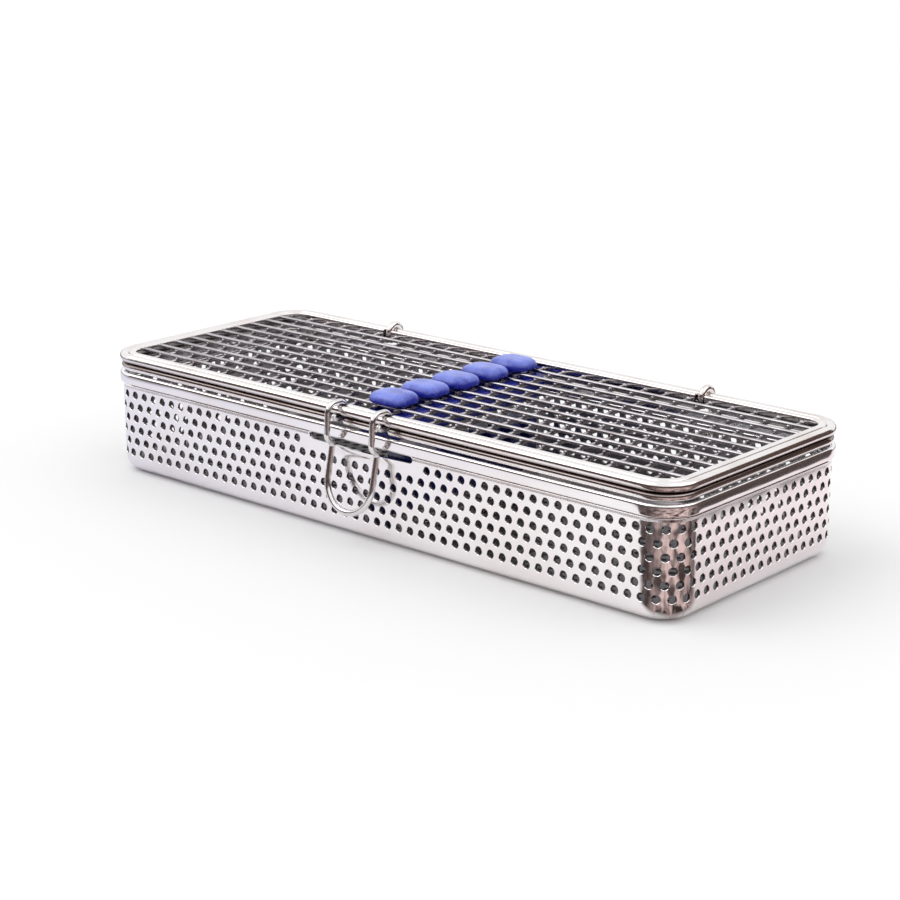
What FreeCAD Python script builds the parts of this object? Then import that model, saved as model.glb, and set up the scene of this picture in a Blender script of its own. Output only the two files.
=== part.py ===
import FreeCAD, Part
import math
import os

# Lidded sterilization tray for instruments: a sheet-steel tray, a welded wire-mesh lid on two
# rear wire hinges, a spring-wire latch at the front and silicone holders for the instruments.
# Millimetres, +Z up, +X along the tray, latch on the -Y side. The origin is the middle of the
# underside.

# Tray: a drawn sheet with a folded hem round its rim
tray_length = 180.0
tray_width = 69.0
tray_height = 26.7
sheet = 0.7
corner_radius = 9.0
floor_radius = 4.0
hem_height = 2.9
hem_proud = 0.7
hem_chamfer = 0.35

# Openings in the walls and the floor: a plain grid of six-sided holes, about as open as the
# 2 mm perforations of the real sheet
wall_openings = 11
end_openings = 4
opening_rows = 2
opening_edge = 0.4
opening_bar = 0.8
floor_openings = 8
floor_opening_rows = 3
floor_opening_width = 12.0

# Slot in the front wall, over a lip that is pressed outwards
slot_length = 33.0
slot_height = 1.7
slot_below_hem = 0.2
lip_length = 30.0
lip_rise = 0.7
lip_height = 2.6

# Lid frame: two perimeter rods, the lower one thinner and set in, and a flat border that
# carries the mesh
lid_gap = 0.3
frame_rod = 2.4
lower_rod = 2.1
lower_rod_inset = 0.4
border_width = 1.8
border_height = 2.5
border_drop = 0.1
border_chamfer = 0.3

# Lid mesh: long wires welded on top of cross wires
mesh_wire = 0.95
mesh_drop = 0.2
columns = 27
rows = 11

# Sides of the bars that stand for round rods and wires
rod_sides = 10
wire_sides = 8

# Wire eyes that turn on the upper rod
eye_clearance = 0.06
eye_side_gap = 0.5

# Latch: one bent spring wire with two eyes, two legs and a finger loop
latch_wire = 1.5
leg_spread = 0.8
shoulder_out = 2.3
shoulder_bend = 2.2
bulge_out = 3.0
bulge_drop = 5.9
bulge_bend = 2.0
knee_clearance = 0.3
knee_bend = 1.2
loop_drop = 15.6
loop_lean = 3.4
eye_wrap = 250.0

# Hinge loops: one bent wire each, welded to the rear wall
hinge_wire = 1.8
hinge_column = 8
hinge_leg_low = 12.0
hinge_step_below_hem = 1.2
hinge_step_height = 2.4
hinge_bend = 2.0

# Silicone hold-down strip under the lid mesh, with buttons that come up through the mesh
strip_width = 11.5
strip_depth = 5.8
strip_end_gap = 2.0
strip_chamfer = 1.2
button_count = 5
button_rows = 2
button_length = 11.5
button_width = 9.4
button_height = 2.8
button_corner = 2.6
button_chamfer = 1.0
neck_width = 3.4

# Silicone comb on the tray floor under the hold-down strip, in a steel rail
comb_thickness = 8.0
comb_length = 54.0
comb_top = 18.0
notch_count = 7
notch_pitch = 7.4
notch_width = 3.6
notch_depth = 7.0
notch_corner = 1.1
rail_sheet = 0.8
rail_height = 5.0

# Where things lie, worked out from the sizes above
wall_y = tray_width / 2 - hem_proud
wall_x = tray_length / 2 - hem_proud
wall_radius = corner_radius - hem_proud
hem_low = tray_height - hem_height
slot_top = hem_low - slot_below_hem
slot_low = slot_top - slot_height
lid_length = tray_length - 2 * eye_clearance
lid_width = tray_width - 2 * eye_clearance
lid_radius = corner_radius - eye_clearance
rod_y = lid_width / 2 - frame_rod / 2
lower_rod_z = tray_height + lid_gap + lower_rod / 2
upper_rod_z = lower_rod_z + (lower_rod + frame_rod) / 2
border_top = upper_rod_z + frame_rod / 2 - border_drop
mesh_length = lid_length - 2 * (frame_rod + border_width)
mesh_width = lid_width - 2 * (frame_rod + border_width)
mesh_radius = lid_radius - frame_rod - border_width
column_pitch = mesh_length / columns
row_pitch = mesh_width / rows
long_wire_z = border_top - mesh_drop - mesh_wire / 2
cross_wire_z = long_wire_z - mesh_wire
mesh_top = long_wire_z + mesh_wire / 2
mesh_low = cross_wire_z - mesh_wire / 2
leg_x = column_pitch + leg_spread
hinge_x = hinge_column * column_pitch


def vector(x, y, z):
    return FreeCAD.Vector(x, y, z)


def rounded_rectangle(length, width, radius, z):
    """Closed wire of a rounded rectangle round the Z axis."""
    x, y = length / 2 - radius, width / 2 - radius
    edges = []
    for quarter, (cx, cy) in enumerate([(x, y), (-x, y), (-x, -y), (x, -y)]):
        turns = [math.radians(90 * quarter + step) for step in (0, 45, 90)]
        arc = [vector(cx + radius * math.cos(t), cy + radius * math.sin(t), z) for t in turns]
        if edges:
            edges.append(Part.makeLine(edges[-1].lastVertex().Point, arc[0]))
        edges.append(Part.Arc(*arc).toShape())
    edges.append(Part.makeLine(edges[-1].lastVertex().Point, edges[0].firstVertex().Point))
    return Part.Wire(edges)


def rounded_prism(length, width, radius, low, high):
    """Upright prism of a rounded rectangle from one height to another."""
    outline = rounded_rectangle(length, width, radius, low)
    return Part.Face(outline).extrude(vector(0, 0, high - low))


def edges_at(shape, z):
    """The edges that lie flat at one height."""
    return [e for e in shape.Edges if abs(e.BoundBox.ZMin - z) < 1e-4 and e.BoundBox.ZLength < 1e-3]


def upright_edges(shape, height):
    """The straight upright edges of one height."""
    return [e for e in shape.Edges if abs(e.BoundBox.ZLength - height) < 1e-3]


def centred_box(x, y, z, x_size, y_size, z_size):
    """Box with its middle at x, y, z."""
    corner = vector(x - x_size / 2, y - y_size / 2, z - z_size / 2)
    return Part.makeBox(x_size, y_size, z_size, corner)


def regular_face(middle, first, second, diameter, sides):
    """Regular face inside a circle of the diameter, with a corner towards the first direction."""
    corners = []
    for i in range(sides + 1):
        turn = math.radians(360 / sides * i)
        corners.append(middle + (first * math.cos(turn) + second * math.sin(turn)) * (diameter / 2))
    return Part.Face(Part.makePolygon(corners))


def bar_section(start, along, diameter, sides):
    """Regular face square to a direction."""
    reference = vector(0, 0, 1) if abs(along.x) > abs(along.y) else vector(1, 0, 0)
    across = along.cross(reference).normalize()
    up = across.cross(along).normalize()
    return regular_face(start, across, up, diameter, sides)


def swept_bar(path, diameter, sides):
    """Bar along a path of straight runs and tangent arcs."""
    first = path.OrderedEdges[0]
    start = first.valueAt(first.FirstParameter)
    along = first.tangentAt(first.FirstParameter)
    return path.makePipe(bar_section(start, along, diameter, sides))


def closed_rod(length, width, radius, diameter, z):
    """Rod bent into a closed rounded rectangle, given by its outer size."""
    path = rounded_rectangle(length - diameter, width - diameter, radius - diameter / 2, z)
    return swept_bar(path, diameter, rod_sides)


def bent_run(points, radii):
    """Edges through the points, with an arc of each given radius at each inner point."""
    edges = []
    start = points[0]
    for before, corner, after, radius in zip(points, points[1:], points[2:], radii):
        to_before = (before - corner).normalize()
        to_after = (after - corner).normalize()
        half = to_before.getAngle(to_after) / 2
        cut = radius / math.tan(half)
        middle = (to_before + to_after).normalize()
        arc_start = corner + to_before * cut
        arc_end = corner + to_after * cut
        arc_middle = corner + middle * (radius / math.sin(half) - radius)
        edges.append(Part.makeLine(start, arc_start))
        edges.append(Part.Arc(arc_start, arc_middle, arc_end).toShape())
        start = arc_end
    edges.append(Part.makeLine(start, points[-1]))
    return edges


def eye_point(x, y, radius, degrees):
    """Point on an eye round the upper rod. 0 degrees is +Y and 90 is up."""
    turn = math.radians(degrees)
    return vector(x, y + radius * math.cos(turn), upper_rod_z + radius * math.sin(turn))


def eye_arc(x, y, radius, start, end):
    """Arc of an eye from one angle to another."""
    angles = (start, (start + end) / 2, end)
    return Part.Arc(*[eye_point(x, y, radius, a) for a in angles]).toShape()


def eye_gaps():
    """Blocks that clear the lower rod and the border round each eye."""
    across = frame_rod + border_width
    depth = 3 * across
    height = 4 * frame_rod
    y = lid_width / 2 - across / 2
    latch_gap = latch_wire + 2 * eye_side_gap
    hinge_gap = hinge_wire + 2 * eye_side_gap
    places = [(leg_x, -y, latch_gap), (hinge_x, y, hinge_gap)]
    return [
        centred_box(side * px, py, upper_rod_z, gap, depth, height)
        for px, py, gap in places
        for side in (-1, 1)
    ]


def make_tray_shell():
    """Sheet tray with a folded hem, a slot over a pressed lip, and openings.

    The floor's edges are rounded outside. Inside, a flat touches the round bend at its middle.
    """
    outer = rounded_prism(2 * wall_x, 2 * wall_y, wall_radius, 0, tray_height)
    outer = outer.makeFillet(floor_radius, edges_at(outer, 0))
    inner_x, inner_y, inner_radius = wall_x - sheet, wall_y - sheet, wall_radius - sheet
    hollow = rounded_prism(2 * inner_x, 2 * inner_y, inner_radius, sheet, 2 * tray_height)
    inner_flat = (floor_radius - sheet) * (2 - math.sqrt(2))
    hollow = hollow.makeChamfer(inner_flat, edges_at(hollow, sheet))
    hem = rounded_prism(tray_length, tray_width, corner_radius, hem_low, tray_height)
    hem = hem.makeChamfer(hem_chamfer, edges_at(hem, hem_low) + edges_at(hem, tray_height))
    lip = pressed_lip()
    shell = outer.fuse(hem).fuse(lip)
    for cut in [hollow, lip.translated(vector(0, sheet, 0)), slot_cut()] + openings():
        shell = shell.cut(cut)
    return shell.removeSplitter()


def opening(x, y, z, first, second, width, depth):
    """Six-sided prism round a point, with a corner towards the first direction."""
    along = first.cross(second)
    start = vector(x, y, z) - along * (depth / 2)
    return regular_face(start, first, second, width, 6).extrude(along * depth)


def spread(count, length):
    """Middles of equal shares of a length round zero."""
    return [(i - (count - 1) / 2) * length / count for i in range(count)]


def openings():
    """Prisms for the openings between the rounded corners: walls in pairs, then the floor."""
    x_axis, y_axis, z_axis = vector(1, 0, 0), vector(0, 1, 0), vector(0, 0, 1)
    straight_x = 2 * (wall_x - wall_radius)
    straight_y = 2 * (wall_y - wall_radius)
    low = floor_radius + opening_edge
    band = slot_low - lip_height - opening_edge - low
    width = (band / opening_rows - opening_bar) / math.cos(math.radians(30))
    prisms = []
    for rise in spread(opening_rows, band):
        z = low + band / 2 + rise
        for x in spread(wall_openings, straight_x):
            prisms.append(opening(x, 0, z, x_axis, z_axis, width, 2 * tray_width))
        for y in spread(end_openings, straight_y):
            prisms.append(opening(0, y, z, y_axis, z_axis, width, 2 * tray_length))
    for x in spread(floor_openings, straight_x):
        for y in spread(floor_opening_rows, straight_y):
            prisms.append(opening(x, y, 0, y_axis, x_axis, floor_opening_width, 4 * sheet))
    return prisms


def pressed_lip():
    """Outer form of the lip: full at the slot, and fading down the wall and towards its ends."""
    half = lip_length / 2
    low = slot_low - lip_height
    ends = (vector(-half, -wall_y, low), vector(half, -wall_y, low))
    crown = Part.Arc(ends[0], vector(0, -wall_y - lip_rise, low), ends[1]).toShape()
    lens = Part.Face(Part.Wire([crown, Part.makeLine(ends[1], ends[0])]))
    bulge = lens.extrude(vector(0, 0, lip_height))
    slope = Part.makePolygon(
        [
            vector(-half, -wall_y, low),
            vector(-half, -wall_y, slot_low),
            vector(-half, -wall_y - lip_rise, slot_low),
            vector(-half, -wall_y, low),
        ]
    )
    return bulge.common(Part.Face(slope).extrude(vector(lip_length, 0, 0)))


def slot_cut():
    """Long hole with round ends through the front wall."""
    radius = slot_height / 2
    middle_z = (slot_low + slot_top) / 2
    through = 4 * sheet
    start = -wall_y - through / 2
    straight = slot_length - slot_height
    cut = centred_box(0, start + through / 2, middle_z, straight, through, slot_height)
    for side in (-1, 1):
        centre = vector(side * straight / 2, start, middle_z)
        cut = cut.fuse(Part.makeCylinder(radius, through, centre, vector(0, 1, 0)))
    return cut


def make_lid_border():
    """Flat border strip inside the rods, open at each eye."""
    inset = 2 * frame_rod
    low = border_top - border_height
    strip = rounded_prism(lid_length - inset, lid_width - inset, lid_radius - frame_rod, low, border_top)
    strip = strip.cut(rounded_prism(mesh_length, mesh_width, mesh_radius, low, border_top))
    strip = strip.makeChamfer(border_chamfer, edges_at(strip, border_top))
    return strip.cut(eye_gaps())


def make_mesh_wires():
    """Straight wires both ways, each cut to the inside of the border."""
    inside = rounded_prism(mesh_length, mesh_width, mesh_radius, 0, 2 * border_top)
    wires = {}
    for i in range(1, columns):
        x = i * column_pitch - mesh_length / 2
        start = vector(x, -mesh_width / 2, cross_wire_z)
        along = vector(0, 1, 0)
        wire = bar_section(start, along, mesh_wire, wire_sides).extrude(along * mesh_width)
        wires[f"lid_cross_wire_{i:02d}"] = wire.common(inside)
    for j in range(1, rows):
        y = j * row_pitch - mesh_width / 2
        start = vector(-mesh_length / 2, y, long_wire_z)
        along = vector(1, 0, 0)
        wire = bar_section(start, along, mesh_wire, wire_sides).extrude(along * mesh_length)
        wires[f"lid_long_wire_{j:02d}"] = wire.common(inside)
    return wires


def latch_half(side):
    """Edges of one side of the latch, from the free end of its eye to the start of the loop."""
    x = side * leg_x
    radius = frame_rod / 2 + eye_clearance + latch_wire / 2
    leave = 90.0
    front = tray_width / 2
    shoulder = vector(x, -front - shoulder_out, upper_rod_z + radius)
    leave_point = eye_point(x, -rod_y, radius, leave)
    bulge = vector(x, -front - bulge_out, upper_rod_z - bulge_drop)
    knee = vector(x, -front - knee_clearance - latch_wire / 2, (slot_low + slot_top) / 2)
    loop_start = vector(x, knee.y - loop_lean / 2, knee.z - loop_drop / 2)
    run = [leave_point, shoulder, bulge, knee, loop_start]
    edges = [eye_arc(x, -rod_y, radius, leave - eye_wrap, leave)]
    return edges + bent_run(run, [shoulder_bend, bulge_bend, knee_bend]), loop_start


def make_latch():
    """Spring-wire latch: two eyes on the upper rod, two legs and a finger loop between them."""
    left, left_end = latch_half(-1)
    right, right_end = latch_half(1)
    down = vector(0, -loop_lean / 2, -loop_drop / 2).normalize()
    middle = (left_end + right_end) / 2
    bottom = middle + down * leg_x
    loop = Part.Arc(left_end, bottom, right_end).toShape()
    path = Part.Wire(Part.__sortEdges__(left + [loop] + right))
    return swept_bar(path, latch_wire, wire_sides)


def make_hinge_loop(side):
    """Wire hinge: an eye on the upper rod and a leg that lies on the hem and on the rear wall."""
    x = side * hinge_x
    radius = frame_rod / 2 + eye_clearance + hinge_wire / 2
    rim_y = tray_width / 2 + hinge_wire / 2
    leg_y = wall_y + hinge_wire / 2
    step_top = hem_low - hinge_step_below_hem
    step_low = step_top - hinge_step_height
    run = [
        eye_point(x, rod_y, radius, 0),
        vector(x, rim_y, step_top),
        vector(x, leg_y, step_low),
        vector(x, leg_y, hinge_leg_low),
    ]
    edges = [eye_arc(x, rod_y, radius, eye_wrap, 0)] + bent_run(run, [hinge_bend, hinge_bend])
    return swept_bar(Part.Wire(Part.__sortEdges__(edges)), hinge_wire, wire_sides)


def make_hold_down():
    """Silicone strip under the mesh, with buttons on necks that pass through the mesh."""
    length = mesh_width - 2 * strip_end_gap
    low = mesh_low - strip_depth
    strip = centred_box(0, 0, mesh_low - strip_depth / 2, strip_width, length, strip_depth)
    strip = strip.makeChamfer(strip_chamfer, edges_at(strip, low))
    pieces = []
    for i in range(button_count):
        y = (i - (button_count - 1) / 2) * button_rows * row_pitch
        neck_z = (mesh_low + mesh_top) / 2
        pieces.append(centred_box(0, y, neck_z, neck_width, neck_width, mesh_top - mesh_low))
        button_z = mesh_top + button_height / 2
        button = centred_box(0, y, button_z, button_length, button_width, button_height)
        button = button.makeChamfer(button_corner, upright_edges(button, button_height))
        pieces.append(button.makeChamfer(button_chamfer, edges_at(button, mesh_top + button_height)))
    return strip.fuse(pieces).removeSplitter()


def make_comb():
    """Silicone comb that stands across the tray in its rail, with notches for the instruments."""
    low = sheet + rail_sheet
    comb = centred_box(0, 0, (low + comb_top) / 2, comb_thickness, comb_length, comb_top - low)
    for i in range(notch_count):
        y = (i - (notch_count - 1) / 2) * notch_pitch
        notch = centred_box(0, y, comb_top, 2 * comb_thickness, notch_width, 2 * notch_depth)
        roots = [e for e in edges_at(notch, comb_top - notch_depth) if e.BoundBox.YLength < 1e-3]
        comb = comb.cut(notch.makeChamfer(notch_corner, roots))
    return comb


def make_rail():
    """Folded channel on the tray floor that grips the foot of the comb."""
    width = comb_thickness + 2 * rail_sheet
    channel = centred_box(0, 0, sheet + rail_height / 2, width, comb_length, rail_height)
    inside = centred_box(
        0, 0, sheet + rail_sheet + rail_height / 2, comb_thickness, 2 * comb_length, rail_height
    )
    return channel.cut(inside)


def make_parts():
    """Every sub-part by name."""
    upper = closed_rod(lid_length, lid_width, lid_radius, frame_rod, upper_rod_z)
    inset = 2 * lower_rod_inset
    lower = closed_rod(
        lid_length - inset, lid_width - inset, lid_radius - lower_rod_inset, lower_rod, lower_rod_z
    )
    parts = {
        "tray_shell": make_tray_shell(),
        "hinge_loop_left": make_hinge_loop(-1),
        "hinge_loop_right": make_hinge_loop(1),
        "holder_rail": make_rail(),
        "holder_comb": make_comb(),
        "lid_upper_rod": upper,
        "lid_lower_rod": lower.cut(eye_gaps()),
        "lid_mesh_border": make_lid_border(),
        "hold_down_strip": make_hold_down(),
        "latch_bail": make_latch(),
    }
    parts.update(make_mesh_wires())
    return parts


os.makedirs("parts", exist_ok=True)
for name, shape in make_parts().items():
    shape.exportStep(f"parts/{name}.step")
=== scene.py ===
import math

import bmesh
import bpy
from mathutils import Matrix, Vector


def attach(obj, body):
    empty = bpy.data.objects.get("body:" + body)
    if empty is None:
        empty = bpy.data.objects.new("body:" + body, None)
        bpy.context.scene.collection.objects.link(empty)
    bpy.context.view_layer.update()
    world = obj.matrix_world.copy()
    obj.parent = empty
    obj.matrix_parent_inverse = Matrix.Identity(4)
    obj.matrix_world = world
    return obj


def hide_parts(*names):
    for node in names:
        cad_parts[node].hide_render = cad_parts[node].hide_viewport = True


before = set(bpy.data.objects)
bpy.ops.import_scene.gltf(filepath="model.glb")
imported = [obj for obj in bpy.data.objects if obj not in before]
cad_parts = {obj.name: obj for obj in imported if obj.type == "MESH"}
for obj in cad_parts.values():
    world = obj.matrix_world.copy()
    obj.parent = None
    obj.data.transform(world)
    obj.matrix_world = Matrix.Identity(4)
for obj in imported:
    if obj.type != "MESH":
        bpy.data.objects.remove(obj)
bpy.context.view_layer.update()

# Sizes in millimetres, the same as in the part's source
MM = 0.001
tray_length = 180.0
tray_width = 69.0
tray_height = 26.7
sheet = 0.7
corner_radius = 9.0
floor_radius = 4.0
hem_height = 2.9
hem_proud = 0.7
slot_length = 33.0
slot_height = 1.7
slot_below_hem = 0.2
lip_length = 30.0
lip_rise = 0.7
lid_gap = 0.3
frame_rod = 2.4
lower_rod = 2.1
lower_rod_inset = 0.4
border_width = 1.8
border_height = 2.5
border_drop = 0.1
mesh_wire = 0.95
mesh_drop = 0.2
columns = 27
rows = 11
eye_clearance = 0.06
eye_side_gap = 0.5
latch_wire = 1.5
leg_spread = 0.8
shoulder_out = 2.3
shoulder_bend = 2.2
bulge_out = 3.0
bulge_drop = 5.9
bulge_bend = 2.0
knee_clearance = 0.3
knee_bend = 1.2
loop_drop = 15.6
loop_lean = 3.4
eye_wrap = 250.0
eye_steps = 36
hinge_wire = 1.8
hinge_column = 8
hinge_leg_low = 12.0
hinge_step_below_hem = 1.2
hinge_step_height = 2.4
hinge_bend = 2.0
strip_width = 11.5
strip_depth = 5.8
strip_end_gap = 2.0
button_count = 5
button_rows = 2
button_length = 11.5
button_width = 9.4
button_height = 2.8
neck_width = 3.4
comb_thickness = 8.0
comb_length = 54.0
comb_top = 18.0
notch_count = 7
notch_pitch = 7.4
notch_width = 3.6
notch_depth = 7.0
rail_sheet = 0.8
rail_height = 5.0

# Perforations at their real size, where the solids have fewer and larger openings
holes_round = 138
hole_rows = 6
hole_radius = 1.0
hole_row_step = 3.1
hole_row_top = 21.1
hole_roll = 0.08
hole_roll_depth = 0.1
slot_columns = 5
floor_columns = 46
floor_rows = 19
floor_hole_sides = 12
floor_pitch = 3.5
floor_row_step = 3.03

# Where things lie
wall_y = tray_width / 2 - hem_proud
wall_x = tray_length / 2 - hem_proud
wall_radius = corner_radius - hem_proud
hem_low = tray_height - hem_height
slot_top = hem_low - slot_below_hem
slot_low = slot_top - slot_height
lid_length = tray_length - 2 * eye_clearance
lid_width = tray_width - 2 * eye_clearance
lid_radius = corner_radius - eye_clearance
rod_y = lid_width / 2 - frame_rod / 2
lower_rod_z = tray_height + lid_gap + lower_rod / 2
upper_rod_z = lower_rod_z + (lower_rod + frame_rod) / 2
border_top = upper_rod_z + frame_rod / 2 - border_drop
mesh_length = lid_length - 2 * (frame_rod + border_width)
mesh_width = lid_width - 2 * (frame_rod + border_width)
mesh_radius = lid_radius - frame_rod - border_width
column_pitch = mesh_length / columns
row_pitch = mesh_width / rows
long_wire_z = border_top - mesh_drop - mesh_wire / 2
cross_wire_z = long_wire_z - mesh_wire
mesh_top = long_wire_z + mesh_wire / 2
mesh_low = cross_wire_z - mesh_wire / 2
leg_x = column_pitch + leg_spread
hinge_x = hinge_column * column_pitch

# Camera
view_azimuth = math.radians(41.3)
view_elevation = math.radians(16.5)
view_distance = 520.0
view_middle = Vector((0.0, -2.0, 15.0))
view_lens = 85.0
camera_heading = view_azimuth - math.pi / 2

# What the polished steel mirrors, as painted reflections: a table, the shadow on it and the room's wall
painted_table_end = 127.0
painted_edge_width = 3.0
shadow_heading = math.radians(-35.9)
shadow_start = 87.0
room_radius = 900.0
room_height = 480.0
room_panels = 24


def make_camera():
    """The camera at the photograph's viewing angle."""
    level = math.cos(view_elevation)
    x = math.sin(view_azimuth) * level
    y = -math.cos(view_azimuth) * level
    away = Vector((x, y, math.sin(view_elevation)))
    data = bpy.data.cameras.new("camera")
    data.lens = view_lens
    camera = bpy.data.objects.new("camera", data)
    camera.location = (view_middle + away * view_distance) * MM
    camera.rotation_euler = (-away).to_track_quat("-Z", "Y").to_euler()
    bpy.context.scene.collection.objects.link(camera)
    bpy.context.scene.camera = camera


class Signal:
    """A shader socket that can stand in a sum."""

    def __init__(self, finish, socket):
        self.finish = finish
        self.socket = socket

    def __add__(self, other):
        return self.finish.maths("ADD", self, other)

    __radd__ = __add__

    def __mul__(self, other):
        return self.finish.maths("MULTIPLY", self, other)

    __rmul__ = __mul__

    def __sub__(self, other):
        return self.finish.maths("SUBTRACT", self, other)

    def __rsub__(self, other):
        return self.finish.maths("SUBTRACT", other, self)


class Finish:
    """A material or a world under construction."""

    def __init__(self, owner):
        owner.use_nodes = True
        self.owner = owner
        self.tree = owner.node_tree
        self.tree.nodes.clear()

    def node(self, kind, output, settings=None, inputs=None):
        """A node of one type, with its settings made before its sockets, and one of its outputs."""
        made = self.tree.nodes.new(kind)
        for name, value in (settings or {}).items():
            setattr(made, name, value)
        for name, value in (inputs or {}).items():
            if isinstance(value, Signal):
                self.tree.links.new(value.socket, made.inputs[name])
            else:
                made.inputs[name].default_value = value
        return Signal(self, made.outputs[output]) if output else made

    def maths(self, operation, *values):
        """The result of a Math node."""
        return self.node("ShaderNodeMath", "Value", {"operation": operation}, dict(enumerate(values)))

    def place(self):
        """The point on the object, in its own frame."""
        return self.node("ShaderNodeTexCoord", "Object")

    def stretched(self, x, y, z):
        """The point on the object with each direction scaled."""
        inputs = {"Vector": self.place(), "Scale": (x, y, z)}
        return self.node("ShaderNodeMapping", "Vector", None, inputs)

    def noise(self, scale, detail=3.0, vector=None):
        """Soft noise of a number of waves per metre."""
        inputs = {"Vector": vector or self.place(), "Scale": scale, "Detail": detail}
        return self.node("ShaderNodeTexNoise", "Fac", None, inputs)

    def spread(self, value, low, high, new_low, new_high):
        """A value carried from one range to another and held inside it."""
        inputs = {"Value": value, "From Min": low, "From Max": high, "To Min": new_low, "To Max": new_high}
        return self.node("ShaderNodeMapRange", "Result", {"clamp": True}, inputs)

    def blend(self, factor, first, second):
        """Two colours mixed, by the sockets for colours, which come after those for numbers."""
        inputs = {0: factor, 6: first, 7: second}
        return self.node("ShaderNodeMix", 2, {"data_type": "RGBA"}, inputs)

    def past(self, value, edge):
        """1 where a value in metres is past an edge in millimetres, and 0 before it."""
        return self.spread(value, edge * MM, (edge + painted_edge_width) * MM, 0.0, 1.0)

    def along(self, direction):
        """Place on the object along X, Y or Z, in metres."""
        return self.node("ShaderNodeSeparateXYZ", direction, None, {"Vector": self.place()})

    def height(self):
        """Height on the object, in metres."""
        return self.along("Z")

    def ray(self, kind):
        """1 for one kind of ray, such as Is Glossy Ray, and 0 for the others."""
        return self.node("ShaderNodeLightPath", kind)

    def bump(self, height, strength, distance):
        """A normal tilted by a height, over a distance in metres."""
        inputs = {"Height": height, "Strength": strength, "Distance": distance}
        return self.node("ShaderNodeBump", "Normal", None, inputs)

    def surface(self, **inputs):
        """The shader with its inputs, and the output. Gives the finished material."""
        named = {}
        for name, value in inputs.items():
            named[name.replace("_", " ").title().replace("Ior", "IOR")] = value
        shader = self.node("ShaderNodeBsdfPrincipled", "BSDF", None, named)
        self.node("ShaderNodeOutputMaterial", None, None, {"Surface": shader})
        return self.owner


def sheet_steel():
    """Thin polished sheet: slightly uneven, with fine drawing lines and a faint warm stain."""
    finish = Finish(bpy.data.materials.new("sheet_steel"))
    waves = finish.noise(55.0, 1.0)
    lines = finish.noise(900.0, 4.0, finish.stretched(0.08, 0.08, 1.0))
    stain = finish.spread(finish.noise(30.0, 4.0), 0.45, 0.75, 0.0, 0.4)
    return finish.surface(
        base_color=finish.blend(stain, (0.93, 0.915, 0.925, 1.0), (0.80, 0.71, 0.68, 1.0)),
        metallic=1.0,
        roughness=finish.spread(lines, 0.3, 0.7, 0.06, 0.14),
        normal=finish.bump(waves + lines * 0.01, 0.25, 0.0012),
    )


def sheet_steel_inside():
    """The duller inner face of the sheet, darkest at the floor with painted shade of the tray's interior,
    and darker in random patches.
    """
    finish = Finish(bpy.data.materials.new("sheet_steel_inside"))
    patch = finish.spread(finish.noise(90.0, 4.0), 0.35, 0.7, 0.0, 0.6)
    # Painted shade: the inner face darkens towards the floor
    above = finish.spread(finish.height(), 2.0 * sheet * MM, 1.5 * floor_radius * MM, 0.0, 1.0)
    clean = finish.blend(above, (0.22, 0.21, 0.218, 1.0), (0.78, 0.76, 0.775, 1.0))
    return finish.surface(
        base_color=finish.blend(patch * 0.5, clean, (0.10, 0.085, 0.085, 1.0)),
        metallic=1.0,
        roughness=finish.spread(patch, 0.0, 0.6, 0.26, 0.38),
    )


def hole_rim_painted_shade():
    """Near-black painted shade on the sheared edge of the sheet inside each hole."""
    finish = Finish(bpy.data.materials.new("hole_rim_painted_shade"))
    return finish.surface(base_color=(0.13, 0.12, 0.125, 1.0), metallic=1.0, roughness=0.35)


def frame_steel():
    """Bright drawn rod, browner where it was welded, with painted shade darkening the crease between the
    rods.
    """
    finish = Finish(bpy.data.materials.new("frame_steel"))
    patch = finish.noise(70.0, 3.0)
    lines = finish.noise(1400.0, 3.0)
    # Painted shade: dark brown in the crease between the upper and lower rods
    crease = upper_rod_z - frame_rod / 2
    above = finish.height() - crease * MM
    away = finish.maths("ABSOLUTE", above)
    crease_shade = finish.spread(away + patch * 0.0005, 0.0006, 0.0012, 0.9, 0.0)
    stain = finish.spread(patch, 0.48, 0.7, 0.0, 0.5)
    clean = finish.blend(stain, (0.88, 0.85, 0.845, 1.0), (0.68, 0.57, 0.53, 1.0))
    return finish.surface(
        base_color=finish.blend(crease_shade, clean, (0.10, 0.055, 0.045, 1.0)),
        metallic=1.0,
        roughness=finish.spread(lines, 0.3, 0.7, 0.08, 0.16),
        normal=finish.bump(lines, 0.12, 0.0001),
    )


def mesh_steel():
    """Thin welded wire, greyer and browner in patches."""
    finish = Finish(bpy.data.materials.new("mesh_steel"))
    patch = finish.noise(160.0, 4.0)
    stain = finish.spread(patch, 0.42, 0.68, 0.0, 0.75)
    lines = finish.noise(1800.0, 3.0)
    return finish.surface(
        base_color=finish.blend(stain, (0.51, 0.49, 0.51, 1.0), (0.28, 0.24, 0.25, 1.0)),
        metallic=1.0,
        roughness=finish.spread(lines, 0.3, 0.7, 0.14, 0.3),
        normal=finish.bump(lines, 0.15, 0.0001),
    )


def latch_steel():
    """Hard spring wire, brighter than the frame."""
    finish = Finish(bpy.data.materials.new("latch_steel"))
    lines = finish.noise(2200.0, 3.0)
    return finish.surface(
        base_color=(0.76, 0.745, 0.75, 1.0),
        metallic=1.0,
        roughness=finish.spread(lines, 0.3, 0.7, 0.1, 0.2),
        normal=finish.bump(lines, 0.1, 0.0001),
    )


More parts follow.
